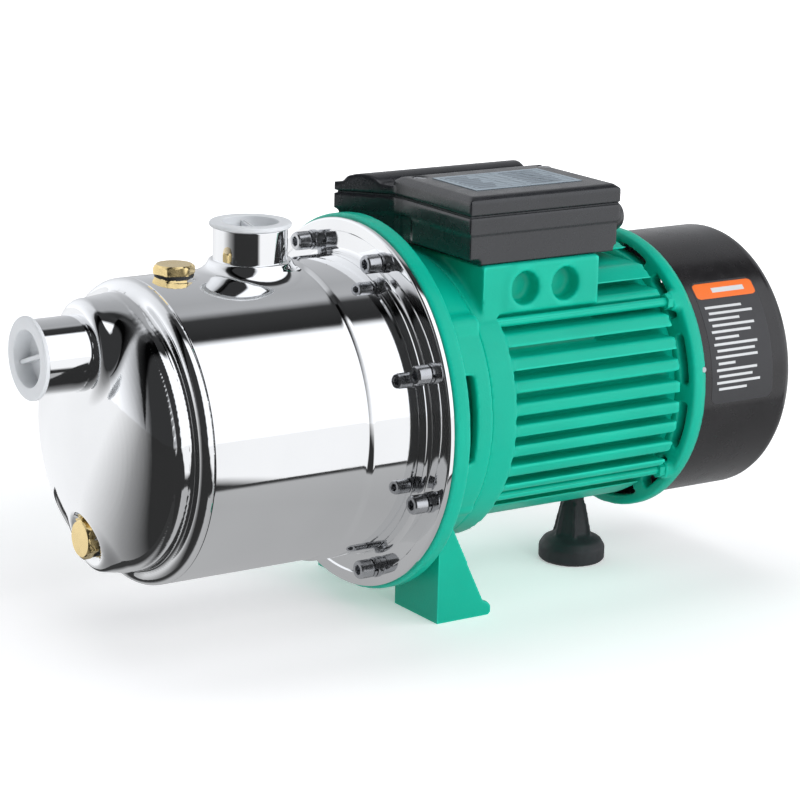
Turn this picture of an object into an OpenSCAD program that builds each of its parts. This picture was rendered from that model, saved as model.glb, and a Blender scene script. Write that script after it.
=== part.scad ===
/* [Overall] */
// Height of the shaft axis above the surface the pump stands on
shaft_height = 112; // [108:1:118]
// Distance from the foot bolt holes forward to the casing flange
flange_to_holes = 40; // [38:1:42]
// Smoothness of round surfaces
smoothness = 72; // [48:4:96]

/* [Pump casing] */
// Outer radius of the casing barrel
barrel_r = 79.7; // [79:0.1:80.2]
// Sheet thickness of the casing
casing_wall = 2; // [1.5:0.1:2.4]
// Outer radius of the casing flange
flange_r = 100; // [98:0.5:101]
// Length of the barrel in front of the flange
barrel_length = 129.7; // [126:0.1:132]
// Radius of the circle that the flange screws sit on
screw_circle_r = 90; // [89:0.5:91]
// Depth of the domed front cover ahead of its neck
dome_depth = 25.5; // [24:0.5:28]

/* [Ports] */
// Outer radius of the two pipe fittings
fitting_r = 19.5; // [19:0.1:20]
// Radius of the thread crests in the pipe fittings
port_r = 15.15; // [14.5:0.05:15.6]
// Height of the suction port above the shaft
suction_rise = 45.5; // [44:0.5:47]
// Distance of the discharge port ahead of the flange
discharge_back = 63.5; // [60:0.5:66]
// Outer radius of the transit caps
cap_r = 21.5; // [21:0.1:22]

/* [Plugs] */
// Width across the flats of the brass plugs
plug_flats = 19; // [17:1:20]
// Distance of the priming plug ahead of the flange
priming_back = 108.6; // [106:0.2:110]
// Drop of the drain plug below the shaft
drain_drop = 53; // [52:0.5:54]

/* [Motor] */
// Radius to the tips of the cooling fins
fin_tip_r = 78; // [77:0.5:79]
// Radius of the housing under the fins
housing_core_r = 66; // [65:0.5:67]
// Distance between neighbouring fins
fin_pitch = 11.7; // [11:0.1:12]
// Height of the air gap between two fins
fin_gap = 5; // [4:0.1:6]
// Outer radius of the fan cover
cover_r = 75.6; // [75:0.1:76]
// Length of the fan cover
cover_length = 70; // [66:1:72]

/* [Feet] */
// Distance between the two front foot bolt holes
foot_spacing = 78; // [76:1:80]
// Width of each front leg
leg_width = 42; // [40:1:43]
// Radius of the foot bolt holes
foot_hole_r = 4.5; // [4:0.1:5]
// Radius of the rear foot pad
pad_r = 19; // [17:0.5:20]

/* [Terminal box] */
// Height of the top of the lid above the shaft
lid_top = 118; // [116:0.5:120]
// Side of the box that faces the capacitor hump
box_far_y = 40; // [39:0.5:41]
// Side of the box that is flush with the housing pedestal
box_near_y = -58; // [-59:0.5:-57]

/* [Hidden] */
$fn = smoothness;

// Where the main planes lie along the shaft, measured from the foot bolt holes
flange_x = -flange_to_holes;
barrel_front_x = flange_x - barrel_length;
neck_x = barrel_front_x - 13.3;
bracket_end_x = flange_x + 38;
fins_start_x = flange_x + 54;
fins_end_x = flange_x + 166;
shield_x = flange_x + 172;
cover_x = flange_x + 180;

// Casing details
collar_r = barrel_r + 1.4;
bore_r = barrel_r - casing_wall;
rear_bore_r = collar_r - casing_wall;
flange_thickness = 3.3;
screw_angles = [for (i = [0:7]) 22.5 + 45 * i];
neck_r = 70;
boss_r = 27.5;
boss_face_x = flange_x - 164.5;
suction_face_x = flange_x - 190;
discharge_face = 102;
discharge_x = flange_x - discharge_back;
priming_x = flange_x - priming_back;
drain_boss_r = 18;
drain_pocket_r = 13;
drain_face_x = flange_x - 156;
cap_plug_r = 16.7;
cap_depth = 8;
cap_rim = 2.5;
port_seat = 9;
port_length = 16;

// Shaft line details
shaft_r = 8.5;
rear_shaft_r = 7.5;
front_bearing = [flange_x + 26, 12, 20];
rear_bearing = [flange_x + 163, 11, 17.5];
rotor_r = 31.5;
stator_bore_r = 32;
stator_r = 60;
stator_x = flange_x + 76;
stator_length = 68;
tie_r = 2.5;
tie_hole_r = 2.55;
tie_places = [for (y = [-58.8, 58.8]) for (z = [-46, 49.8]) [y, z]];
tie_end_x = flange_x + 176;

// Underside of the motor housing and the rear foot
belly_r = 72;
rear_foot_x = flange_x + 155;
foot_pad_z = -73;
foot_screw_r = 2.5;

// Terminal box details
box_floor = 81;
box_seam = 107;
box_step = 98;
box_front_x = flange_x + 35;
box_rear_x = flange_x + 134;
box_nose_x = flange_x + 12;
box_elbow_y = 14;
box_wall = 2.5;
gasket_thickness = 0.8;
hump_y = 29;
hump_r = 11;
cover_screw_r = 1.5;
gland_at = [box_rear_x, -38, 96.5];

// Part of a circle as a list of points
function arc(cx, cy, r, from, to, steps) =
    [for (i = [0:steps]) [cx + r * cos(from + (to - from) * i / steps), cy + r * sin(from + (to - from) * i / steps)]];

// Point at one end of the rounding of corner b, on the side towards a
function tangent(a, b, reach) = b + (a - b) * reach / norm(a - b);

// Points of the round corner at b between a and c
function corner(a, b, c, r, steps) =
    let (u = (a - b) / norm(a - b), v = (c - b) / norm(c - b), half = acos(u * v) / 2, reach = r / tan(half),
         mid = (u + v) / norm(u + v), centre = b + mid * r / sin(half), p = tangent(a, b, reach) - centre,
         q = tangent(c, b, reach) - centre, start = atan2(p.y, p.x), turn = atan2(q.y, q.x) - start,
         sweep = turn > 180 ? turn - 360 : turn < -180 ? turn + 360 : turn)
    [for (i = [0:steps]) centre + r * [cos(start + sweep * i / steps), sin(start + sweep * i / steps)]];

// Outline with every corner rounded by r
function rounded(points, r, steps = 5) =
    let (n = len(points))
    [for (i = [0:n - 1]) each corner(points[(i + n - 1) % n], points[i], points[(i + 1) % n], r, steps)];

// Body turned about the shaft axis; each point is [x, radius]
module turned(points) {
    translate([0, 0, shaft_height]) rotate([0, 90, 0])
        rotate_extrude() polygon([for (p = points) [p.y, p.x]]);
}

// Cylinder along the shaft axis, or along a line parallel to it at [y, z] from the shaft
module rod(x, length, r, at = [0, 0], sides = smoothness) {
    translate([x, at.x, shaft_height + at.y]) rotate([0, 90, 0]) cylinder(h = length, r = r, $fn = sides);
}

// Ring along the shaft axis
module sleeve(x, length, outer, inner, at = [0, 0]) {
    difference() {
        rod(x, length, outer, at);
        rod(x - 1, length + 2, inner, at);
    }
}

// Upright cylinder; z is measured from the shaft
module post(x, y, z, height, r, sides = smoothness) {
    translate([x, y, shaft_height + z]) cylinder(h = height, r = r, $fn = sides);
}

// Box between two corners, with z measured from the shaft
module block(low, high) {
    translate([low.x, low.y, low.z + shaft_height]) cube(high - low);
}

// Upright plate of a given outline; z is measured from the shaft
module slab(outline, z, height) {
    translate([0, 0, shaft_height + z]) linear_extrude(height) polygon(outline);
}

// Repeats its children on the circle of flange screws
module at_screws() {
    for (a = screw_angles)
        translate([0, screw_circle_r * cos(a), shaft_height + screw_circle_r * sin(a)]) rotate([0, 90, 0]) children();
}

// Inner space of a pipe fitting along +Z: a seat for the cap, the thread and the waterway
module port_bore(face) {
    translate([0, 0, face - port_seat]) cylinder(h = port_seat + 1, r = cap_plug_r + 0.1);
    translate([0, 0, face - port_seat - port_length]) cylinder(h = port_length + 1, r = port_r);
    translate([0, 0, face - port_seat - port_length - 20]) cylinder(h = 21, r = port_r - 2);
}

// Transit cap along +Z that sits on the face of a fitting
module transit_cap(face) {
    difference() {
        union() {
            translate([0, 0, face]) rotate_extrude()
                polygon([[0, 0], [cap_r - 0.6, 0], [cap_r, 0.6], [cap_r, cap_rim - 0.8], [cap_r - 0.8, cap_rim], [0, cap_rim]]);
            translate([0, 0, face - cap_depth]) cylinder(h = cap_depth + 0.5, r = cap_plug_r);
        }
        translate([0, 0, face - cap_depth + 1.5]) cylinder(h = cap_depth + 4, r = cap_plug_r - 2.2);
    }
    translate([-cap_plug_r + 1, -1.2, face - cap_depth + 1]) cube([2 * cap_plug_r - 2, 2.4, cap_depth - 1.5]);
}

// Hexagon plug along +Z, standing on z = 0, with a chamfered head and a short shank
module hex_plug(height, shank_r, shank) {
    intersection() {
        cylinder(h = height, r = plug_flats / 2 / cos(30), $fn = 6);
        rotate_extrude() polygon([[0, 0], [plug_flats / 2 + 2, 0], [plug_flats / 2 + 2, height - 1.4], [plug_flats / 2 - 0.4, height], [0, height]]);
    }
    translate([0, 0, -shank]) cylinder(h = shank + 0.5, r = shank_r);
}

// Turned skin of the barrel and flange
module casing_skin() {
    turned(concat(
        [[barrel_front_x, bore_r], [barrel_front_x, barrel_r], [flange_x - 38, barrel_r], [flange_x - 36.6, collar_r]],
        arc(flange_x - 5.5, collar_r + 3, 3, -90, 0, 5),
        [[flange_x - flange_thickness + 0.8, 92.6]],
        [[flange_x - flange_thickness, 93.4], [flange_x - flange_thickness, flange_r - 1], [flange_x - flange_thickness + 1, flange_r]],
        [[flange_x, flange_r], [flange_x, rear_bore_r], [flange_x - 37.6, rear_bore_r], [flange_x - 39, bore_r]]
    ));
}

// Raised ring, flared at its foot, that the discharge fitting stands in
module discharge_collar() {
    translate([discharge_x, 0, shaft_height]) rotate_extrude()
        polygon(concat([[0, 60], [fitting_r + 9, 60], [fitting_r + 9, 76]], arc(fitting_r + 8.5, 85, 7, 270, 180, 6), [[0, 85]]));
}

// Casing barrel with its flange, discharge collar and priming boss
module pump_casing() color("silver") difference() {
    union() {
        casing_skin();
        difference() {
            union() {
                discharge_collar();
                post(priming_x, 0, 70, barrel_r - 69.8, 11.5);
            }
            rod(barrel_front_x - 1, barrel_length + 2, bore_r);
        }
    }
    post(discharge_x, 0, 50, 50, fitting_r);
    post(priming_x, 0, 50, 50, 6.5);
    at_screws() translate([0, 0, flange_x - 10]) cylinder(h = 20, r = 3.4, $fn = 32);
    sleeve(flange_x - 2.4, 4, 82.8, 80.2);
}

// Outline of the front cover from its joint to the tip; out is the skin offset
function cover_outline(out) = concat(
    arc(barrel_front_x, barrel_r - 7.5, 7.5 + out, 90, 150, 5),
    [[barrel_front_x - 7.6 - out, neck_r + 3], [neck_x - out, neck_r + 0.6 + out]],
    [for (i = [1:14]) [neck_x - (dome_depth + out) * sin(90 * i / 14), (neck_r + out) * cos(90 * i / 14)]]);

// Solid of the front cover with its two bosses and the flat around the drain plug; inset is taken off every face
module cover_solid(inset) difference() {
    cover_body(inset);
    rod(drain_face_x - 15, 15 + inset, drain_pocket_r + inset, [0, -drain_drop]);
}

// Dome and bosses of the front cover before the flat is cut
module cover_body(inset) {
    turned(concat(cover_outline(-inset), [[barrel_front_x, 0]]));
    translate([0, 0, shaft_height + suction_rise]) rotate([0, -90, 0]) rotate_extrude() polygon(concat(
        [[0, -barrel_front_x + 5], [boss_r - inset, -barrel_front_x + 5]],
        arc(boss_r - 7, -boss_face_x - 7, 7 - inset, 0, 90, 5), [[0, -boss_face_x - inset]]));
    translate([0, 0, shaft_height - drain_drop]) rotate([0, -90, 0]) rotate_extrude() polygon(concat(
        [[0, -barrel_front_x + 5], [drain_boss_r - inset, -barrel_front_x + 5]],
        arc(drain_boss_r - 5, -drain_face_x - 5, 5 - inset, 0, 90, 4), [[0, -drain_face_x - inset]]));
}

// Domed front of the casing with the suction and drain bosses
module front_cover() color("silver") difference() {
    cover_solid(0);
    cover_solid(casing_wall);
    rod(barrel_front_x, 8, barrel_r + 5);
    rod(boss_face_x - 10, 40, fitting_r, [0, suction_rise]);
    rod(drain_face_x - 10, 20, 6.5, [0, -drain_drop]);
}

// Suction pipe fitting
module suction_fitting() color("lightgray") translate([0, 0, shaft_height + suction_rise]) rotate([0, -90, 0]) difference() {
    rotate_extrude() polygon([[0, -boss_face_x - 9], [fitting_r, -boss_face_x - 9], [fitting_r, -suction_face_x - 0.8], [fitting_r - 0.8, -suction_face_x], [0, -suction_face_x]]);
    port_bore(-suction_face_x);
}

// Discharge pipe fitting
module discharge_fitting() color("lightgray") translate([discharge_x, 0, shaft_height]) difference() {
    rotate_extrude() polygon([[0, 74], [fitting_r, 74], [fitting_r, discharge_face - 0.8], [fitting_r - 0.8, discharge_face], [0, discharge_face]]);
    port_bore(discharge_face);
}

// Transit cap of the suction port
module suction_cap() color("whitesmoke") translate([0, 0, shaft_height + suction_rise]) rotate([0, -90, 0]) rotate([0, 0, 20])
    transit_cap(-suction_face_x);

// Transit cap of the discharge port
module discharge_cap() color("whitesmoke") translate([discharge_x, 0, shaft_height]) rotate([0, 0, 75]) transit_cap(discharge_face);

// Brass plug on top, through which the casing is filled before the first start
module priming_plug() color("goldenrod") translate([priming_x, 0, shaft_height + barrel_r + 1.4]) rotate([0, 0, 12]) hex_plug(5, 6.3, 9);

// Sealing washer under the priming plug
module priming_washer() color("dimgray") difference() {
    post(priming_x, 0, barrel_r + 0.2, 1.2, 10.2);
    post(priming_x, 0, barrel_r - 1, 4, 6.6);
}

// Brass plug low on the front cover, through which the casing is drained
module drain_plug() color("goldenrod") translate([drain_face_x - 1.2, 0, shaft_height - drain_drop]) rotate([0, -90, 0]) rotate([0, 0, 8])
    hex_plug(5.8, 6.3, 9);

// Sealing washer under the drain plug
module drain_washer() color("dimgray") sleeve(drain_face_x - 1.2, 1.2, 10.2, 6.6, [0, -drain_drop]);

// Eight socket head screws that clamp the casing to the bracket
module casing_screws() color("gray") at_screws() difference() {
    union() {
        translate([0, 0, flange_x - 14.9]) rotate_extrude($fn = 32)
            polygon([[0, 0], [4.3, 0], [5, 0.7], [5, 8], [0, 8]]);
        translate([0, 0, flange_x - 7.5]) cylinder(h = 15, r = 3, $fn = 32);
    }
    translate([0, 0, flange_x - 15.5]) cylinder(h = 4.6, r = 2.9, $fn = 6);
}

// Stacks of spring washer and flat washer under the flange screws
module casing_washers() color("dimgray") at_screws() translate([0, 0, flange_x - 6.9]) difference() {
    union() {
        cylinder(h = 2.3, r = 5, $fn = 32);
        translate([0, 0, 2.2]) cylinder(h = 1.4, r = 5.5, $fn = 32);
    }
    translate([0, 0, -1]) cylinder(h = 8, r = 3.1, $fn = 32);
}

// Seal ring between the casing flange and the seal plate
module casing_o_ring() color("black") translate([flange_x - 1.2, 0, shaft_height]) rotate([0, 90, 0])
    rotate_extrude() translate([81.5, 0]) circle(r = 1.15, $fn = 24);

// Plate that closes the pump casing behind the impeller and holds the seal seat
module seal_plate() color("lightgray") difference() {
    union() {
        rod(flange_x, 2, 84);
        rod(flange_x - 6, 10, 24);
    }
    rod(flange_x - 8, 14, 13);
    rod(flange_x - 7, 5, 20);
}

// Bowl around the impeller that turns speed into pressure
module diffuser() color("dimgray") difference() {
    union() {
        rod(flange_x - 44, 44, 70);
        rod(flange_x - 54, 12, 25);
    }
    rod(flange_x - 39, 50, 58);
    rod(flange_x - 60, 30, 21);
    for (i = [0:7]) translate([flange_x - 24, 0, shaft_height]) rotate([45 * i, 0, 0]) translate([-13, 0, 55]) cube([26, 9, 30]);
}

// Elbow that leads the suction port down to the jet
module suction_elbow() color("dimgray") difference() {
    union() {
        rod(flange_x - 155, 40, 17, [0, suction_rise]);
        post(flange_x - 124, 0, 0, suction_rise, 14);
        rod(flange_x - 140, 30, 22);
    }
    rod(flange_x - 156, 38, 14, [0, suction_rise]);
    post(flange_x - 124, 0, 0, suction_rise, 11);
    rod(flange_x - 137, 24, 19);
    rod(flange_x - 141, 5, 9);
    rod(flange_x - 114, 5, 14);
}

// Nozzle that drives water into the venturi
module jet_nozzle() color("goldenrod") turned([
    [flange_x - 144, 4.5], [flange_x - 144, 11], [flange_x - 140, 11], [flange_x - 140, 9], [flange_x - 128, 9],
    [flange_x - 116, 5], [flange_x - 116, 3.2], [flange_x - 130, 6],
]);

// Tube that narrows and widens again ahead of the impeller
module venturi_tube() color("dimgray") turned([
    [flange_x - 110, 9], [flange_x - 110, 18], [flange_x - 104, 18], [flange_x - 100, 12], [flange_x - 80, 12],
    [flange_x - 54, 20], [flange_x - 54, 21], [flange_x - 46, 21], [flange_x - 46, 16.5], [flange_x - 84, 6.5], [flange_x - 98, 6.5],
]);

// One curved vane of the impeller, before it is trimmed to the shrouds
module vane() {
    difference() {
        translate([26, 0, 0]) cylinder(h = 10, r = 31);
        translate([26, 0, -1]) cylinder(h = 12, r = 29);
        translate([-60, -80, -1]) cube([140, 80, 12]);
    }
}

// Closed impeller: two shrouds with curved vanes between them
module impeller() color("silver") difference() {
    union() {
        rod(flange_x - 20, 2.5, 54);
        rod(flange_x - 20, 12, 13);
        sleeve(flange_x - 31, 2.5, 54, 18);
        sleeve(flange_x - 37, 7, 20, 17);
        intersection() {
            sleeve(flange_x - 29, 10, 53, 14);
            for (i = [0:5]) rotate_about_shaft(60 * i) translate([flange_x - 29, 0, 0]) rotate([0, 90, 0]) vane();
        }
    }
    rod(flange_x - 40, 40, shaft_r - 2);
}

// Nut that holds the impeller on the shaft
module impeller_nut() color("silver") difference() {
    rod(flange_x - 26, 6, 10, [0, 0], 6);
    rod(flange_x - 27, 8, 4);
}

// Stationary ceramic ring of the shaft seal
module seal_seat() color("white") sleeve(flange_x - 6, 4, 19.9, 13);

// Turning half of the shaft seal: carbon face and rubber bellows
module seal_head() color("black") turned([
    [flange_x - 8, shaft_r], [flange_x - 8, 14], [flange_x - 7.6, 16], [flange_x - 6.05, 16], [flange_x - 6.05, 11], [flange_x - 3, 10.5], [flange_x - 3, shaft_r],
]);

// Rubber disc that throws leaked water off the shaft
module slinger() color("black") turned([
    [flange_x + 12, shaft_r], [flange_x + 12, 12], [flange_x + 14, 12], [flange_x + 14.5, 22], [flange_x + 16, 22],
    [flange_x + 16.5, 12], [flange_x + 18, 12], [flange_x + 18, shaft_r],
]);

// One front leg, open at the back, with its base plate; side is -1 or 1
module leg(side) {
    inner_y = foot_spacing / 2 - leg_width / 2;
    wall = 4.5;
    difference() {
        translate([0, side > 0 ? inner_y : -inner_y - leg_width, 0]) difference() {
            translate([0, leg_width, 0]) rotate([90, 0, 0]) linear_extrude(leg_width) polygon([
                [flange_x + 20, 0], [flange_x + 54, 0], [flange_x + 55.5, 1.5], [flange_x + 55.5, 5.5], [flange_x + 53.5, 7.5],
                [flange_x + 50.5, 8], [flange_x + 27, shaft_height - 55], [flange_x + 20, shaft_height - 55],
            ]);
            translate([flange_x + 20 + wall, wall, 7]) cube([60, leg_width - 2 * wall, shaft_height]);
        }
        rod(flange_x, 60, 78);
        translate([0, side * foot_spacing / 2, -1]) cylinder(h = 12, r = foot_hole_r, $fn = 48);
    }
}

// Cast bracket: casing flange, bearing hub and the two front legs
module motor_bracket() color("mediumseagreen") difference() {
    union() {
        turned([[flange_x, 74], [flange_x, 101], [flange_x + 1, 102], [flange_x + 8, 102], [flange_x + 9, 101], [flange_x + 9, 86],
            [flange_x + 13, 81.5], [bracket_end_x, 80.5], [bracket_end_x, 74]]);
        sleeve(flange_x + 30, 8, 75, 19);
        sleeve(flange_x + 22, 16, 26, 20);
        for (at = tie_places) rod(flange_x + 9, 29, 7, at, 32);
        for (side = [-1, 1]) leg(side);
    }
    rod(flange_x - 1, 3, 84.3);
    rod(flange_x - 1, 31, 74);
    for (at = tie_places) rod(flange_x + 20, 20, tie_hole_r, at, 32);
    rod(front_bearing.x, 20, front_bearing.z);
    for (side = [-1, 1]) block([flange_x + 17, side * 80 - 14, -19], [flange_x + 28, side * 80 + 14, 28]);
    at_screws() translate([0, 0, flange_x - 1]) cylinder(h = 20, r = 3.05, $fn = 32);
}

// Stepped steel shaft from the impeller to the fan
module shaft() color("lightsteelblue") turned([
    [flange_x - 29, 0], [flange_x - 29, 3.5], [flange_x - 28.5, 4], [flange_x - 20, 4], [flange_x - 20, shaft_r - 2],
    [flange_x - 8, shaft_r - 2], [flange_x - 8, shaft_r], [front_bearing.x + 12, shaft_r], [front_bearing.x + 12, 11],
    [rear_bearing.x, 11], [rear_bearing.x, rear_shaft_r], [flange_x + 206, rear_shaft_r], [flange_x + 207, rear_shaft_r - 1], [flange_x + 207, 0],
]);

// Outer rings of the two ball bearings
module bearing_outer_races() color("gray") for (b = [front_bearing, rear_bearing]) difference() {
    sleeve(b.x, b.y, b.z, b.z - 4);
    translate([b.x + b.y / 2, 0, shaft_height]) rotate([0, 90, 0]) rotate_extrude() translate([b.z - 6, 0]) circle(r = 3.05, $fn = 32);
}

// Inner rings of the two ball bearings
module bearing_inner_races() color("gray") for (b = [[front_bearing, shaft_r], [rear_bearing, rear_shaft_r]]) difference() {
    sleeve(b[0].x, b[0].y, b[0].z - 8, b[1]);
    translate([b[0].x + b[0].y / 2, 0, shaft_height]) rotate([0, 90, 0]) rotate_extrude() translate([b[0].z - 6, 0]) circle(r = 3.05, $fn = 32);
}

// Balls of the two bearings
module bearing_balls() color("silver") for (b = [front_bearing, rear_bearing]) for (i = [0:7])
    translate([b.x + b.y / 2, (b.z - 6) * cos(45 * i), shaft_height + (b.z - 6) * sin(45 * i)]) sphere(r = 2.95, $fn = 32);

// Spring washer that preloads the rear bearing
module wave_washer() color("silver") sleeve(rear_bearing.x + rear_bearing.y, 1, 17.4, 14.5);

// Stack of rotor sheets
module rotor_core() color("gray") sleeve(stator_x + 1, stator_length - 2, rotor_r, 11);

// Cast rings at the two ends of the rotor cage
module rotor_end_rings() color("silver") for (x = [stator_x - 8, stator_x + stator_length - 1]) sleeve(x, 9, 30, 19);

// Stack of stator sheets with winding slots
module stator_core() color("dimgray") difference() {
    sleeve(stator_x, stator_length, stator_r, stator_bore_r);
    for (i = [0:23]) translate([stator_x - 1, 0, shaft_height]) rotate([15 * i, 0, 0]) translate([0, -2.2, 33.5]) cube([stator_length + 2, 4.4, 14]);
}

// Copper end turns of the stator winding
module stator_windings() color("peru") for (x = [stator_x - 14, stator_x + stator_length]) turned(
    [[x, 38], [x, 49], [x + 3, 53], [x + 11, 53], [x + 14, 50], [x + 14, 37], [x + 11, 34.5], [x + 3, 34.5]]);

// Where the two blind cable recesses sit along the pedestal
recess_x = [flange_x + 71.6, flange_x + 98];

// Outline of the raised pedestal under the terminal box, as [x, y]
pedestal = [[flange_x + 44, box_near_y - 1], [flange_x + 120, box_near_y - 1], [flange_x + 120, box_far_y], [flange_x + 44, box_far_y]];

// Cylinder that points at the near side, from a depth y outwards; z is measured from the shaft
module near_post(x, z, r, length, y) {
    translate([x, y, shaft_height + z]) rotate([90, 0, 0]) cylinder(h = length, r = r, $fn = 48);
}

// Raised boss with round corners around the two cable recesses
module recess_boss() {
    left = recess_x[0] - 13;
    right = pedestal[1].x;
    near_post(left + 11, 69, 11, 12, box_near_y + 10.2);
    block([left + 11, box_near_y - 1.8, 56], [right, box_near_y + 8, 80]);
    block([left, box_near_y - 1.8, 56], [left + 12, box_near_y + 8, 69]);
}

// Finned aluminium housing of the motor with the pedestal for the terminal box
module motor_housing() color("mediumseagreen") difference() {
    union() {
        rod(bracket_end_x, shield_x - bracket_end_x, housing_core_r);
        rod(bracket_end_x, 16, 79.8);
        difference() {
            rod(fins_start_x - 1, fins_end_x - fins_start_x + 1, fin_tip_r);
            for (i = [-3:8]) block([fins_start_x, -90, 44.5 - fin_pitch * i], [fins_end_x + 1, 90, 44.5 - fin_pitch * i + fin_gap]);
            block([fins_start_x, -90, -90], [fins_end_x + 1, 90, 44.5 - fin_pitch * 8]);
        }
        intersection() {
            rod(fins_start_x - 1, fins_end_x - fins_start_x + 1, belly_r);
            block([fins_start_x - 1, -90, -90], [fins_end_x, 90, -56]);
        }
        post(rear_foot_x, 0, foot_pad_z, 6, 9, 48);
        recess_boss();
        intersection() {
            slab(pedestal, 0, box_floor);
            union() {
                block([flange_x + 40, box_near_y - 2, 52], [flange_x + 125, box_far_y + 2, box_floor]);
                rod(flange_x + 40, 85, 70);
            }
        }
    }
    rod(bracket_end_x - 1, 140, stator_r);
    block([flange_x + 54, -34, 30], [flange_x + 110, 26, box_floor - 3]);
    post(flange_x + 90, -5, 60, 40, 9);
    for (x = recess_x) near_post(x, 67, 9, 12, box_near_y + 9);
    block([flange_x + 40, box_near_y - 3, 60], [flange_x + 60, box_near_y - 0.2, 60.8]);
    for (at = tie_places) {
        rod(bracket_end_x - 1, 200, tie_hole_r, at, 32);
        block([fins_start_x, at.x < 0 ? at.x - 30 : at.x, at.y - 4.2], [fins_end_x + 1, at.x < 0 ? at.x : at.x + 30, at.y + 4.2]);
        rod(fins_start_x, 200, 4.2, at, 32);
    }
    post(rear_foot_x, 0, foot_pad_z - 1, 12, foot_screw_r + 0.1, 32);
}

// Rear end shield: ring with air slots, spokes and the rear bearing hub
module rear_shield() color("seagreen") difference() {
    union() {
        turned([[shield_x, 10], [shield_x, housing_core_r], [shield_x + 2, 79], [shield_x + 3, 80.2], [shield_x + 8, 80.2],
            [shield_x + 10, 78.4], [shield_x + 12, 78], [shield_x + 12, 75.7], [shield_x + 8, 75.7], [shield_x + 8, 60], [shield_x + 6, 58], [shield_x + 6, 10]]);
        sleeve(rear_bearing.x - 1, 12, 23, 10);
        for (at = tie_places) intersection() {
            rod(shield_x - 2, 8, 5.6, at, 32);
            rod(shield_x - 2, 8, 80.2);
        }
    }
    rod(rear_bearing.x - 2, 14, rear_bearing.z);
    rod(rear_bearing.x, 40, 10);
    for (i = [0:11]) rotate_about_shaft(30 * i + 4) arc_slot(shield_x - 1, 12, 69, 74.5, 22);
    for (at = tie_places) rod(shield_x - 3, 8, tie_hole_r, at, 32);
    at_cover_screws() cylinder(h = 30, r = cover_screw_r + 0.05, $fn = 24);
}

// Turns its children about the shaft axis
module rotate_about_shaft(angle) {
    translate([0, 0, shaft_height]) rotate([angle, 0, 0]) children();
}

// Curved slot through a disc on the shaft axis, before it is lifted to the shaft
module arc_slot(x, length, inner, outer, sweep) {
    translate([x, 0, 0]) rotate([0, 90, 0]) rotate_extrude(angle = sweep) translate([inner, 0]) square([outer - inner, length]);
}

// Four long studs with lock nuts that hold the motor together
module tie_bolts() color("mediumseagreen") for (at = tie_places) {
    rod(flange_x + 22, tie_end_x - flange_x - 22, tie_r, at, 32);
    rod(fins_end_x + 0.5, 3.5, 4.6, at, 6);
}

// Cooling fan with straight blades
module fan() color("darkslategray") {
    sleeve(flange_x + 190, 14, 13, rear_shaft_r);
    sleeve(flange_x + 202, 2, 40, 12);
    for (i = [0:7]) rotate_about_shaft(45 * i) translate([flange_x + 190, -1, 12.5]) cube([12.5, 2, 53]);
}

// Clip that keeps the fan on the shaft
module fan_clip() color("gray") sleeve(flange_x + 204, 1, 10, rear_shaft_r);

// Repeats its children along the radial screws of the fan cover, 60 from the shaft
module at_cover_screws() {
    for (a = [170, 10, 270]) rotate_about_shaft(a) translate([cover_x + 2.1, 60, 0]) rotate([-90, 0, 0]) children();
}

// Sheet metal fan cover with a slotted rear face
module fan_cover() color("black") difference() {
    turned(concat(
        [[cover_x, cover_r - 1.5], [cover_x, cover_r]], arc(cover_x + cover_length - 8, cover_r - 8, 8, 90, 0, 6),
        [[cover_x + cover_length, 0], [cover_x + cover_length - 1.5, 0], [cover_x + cover_length - 1.5, cover_r - 8.5], [cover_x + cover_length - 8, cover_r - 1.5]]));
    for (ring = [0:3]) for (i = [0:7]) rotate_about_shaft(45 * i + 22.5 * (ring % 2))
        arc_slot(cover_x + cover_length - 5, 10, 16 + 13 * ring, 22 + 13 * ring, 34);
    at_cover_screws() cylinder(h = 30, r = cover_screw_r + 0.05, $fn = 24);
}

// Screws that hold the fan cover in the rim of the end shield
module fan_cover_screws() color("gray") at_cover_screws() translate([0, 0, 8]) cylinder(h = 10.6, r = cover_screw_r, $fn = 24);

// Plain curved label on the side of the fan cover
module cover_label() color("orange") rotate_about_shaft(132) translate([flange_x + 190, 0, 0]) rotate([0, 90, 0]) rotate([0, 0, 90])
    rotate_extrude(angle = 54) translate([cover_r, 0]) square([0.4, 44]);

// Rubber rear foot: a ribbed cone on a round pad
module rear_foot() color("black") translate([rear_foot_x, 0, 0]) difference() {
    union() {
        rotate_extrude() polygon([[0, 0], [pad_r - 1.5, 0], [pad_r, 1.5], [pad_r, 8.5], [pad_r - 2.5, 12.5], [9.5, 16],
            [6, 35], [6, shaft_height + foot_pad_z], [0, shaft_height + foot_pad_z]]);
        for (a = [0, 60, 120]) rotate([0, 0, a]) translate([0, 0.9, 0]) rotate([90, 0, 0]) linear_extrude(1.8)
            polygon([[-12.5, 11], [12.5, 11], [11.5, 17], [7.5, 34], [-7.5, 34], [-11.5, 17]]);
    }
    translate([0, 0, -1]) cylinder(h = 12, r = 6, $fn = 32);
    translate([0, 0, 5]) cylinder(h = 60, r = foot_screw_r + 0.1, $fn = 32);
}

// Screw that fixes the rear foot to the housing
module rear_foot_screw() color("gray") translate([rear_foot_x, 0, 0]) {
    translate([0, 0, 7]) cylinder(h = 4, r = 4.5, $fn = 32);
    translate([0, 0, 10]) cylinder(h = 38, r = foot_screw_r, $fn = 32);
}

// Outline of the terminal box, drawn in by inset, as [x, y]
function box_outline(inset, r) = rounded([
    [box_front_x + inset, box_near_y + inset], [box_rear_x - inset, box_near_y + inset], [box_rear_x - inset, box_far_y - inset],
    [box_nose_x + 2.22 * inset, box_far_y - inset], [box_front_x + inset, box_elbow_y + 0.38 * inset]], r, 3);

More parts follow.
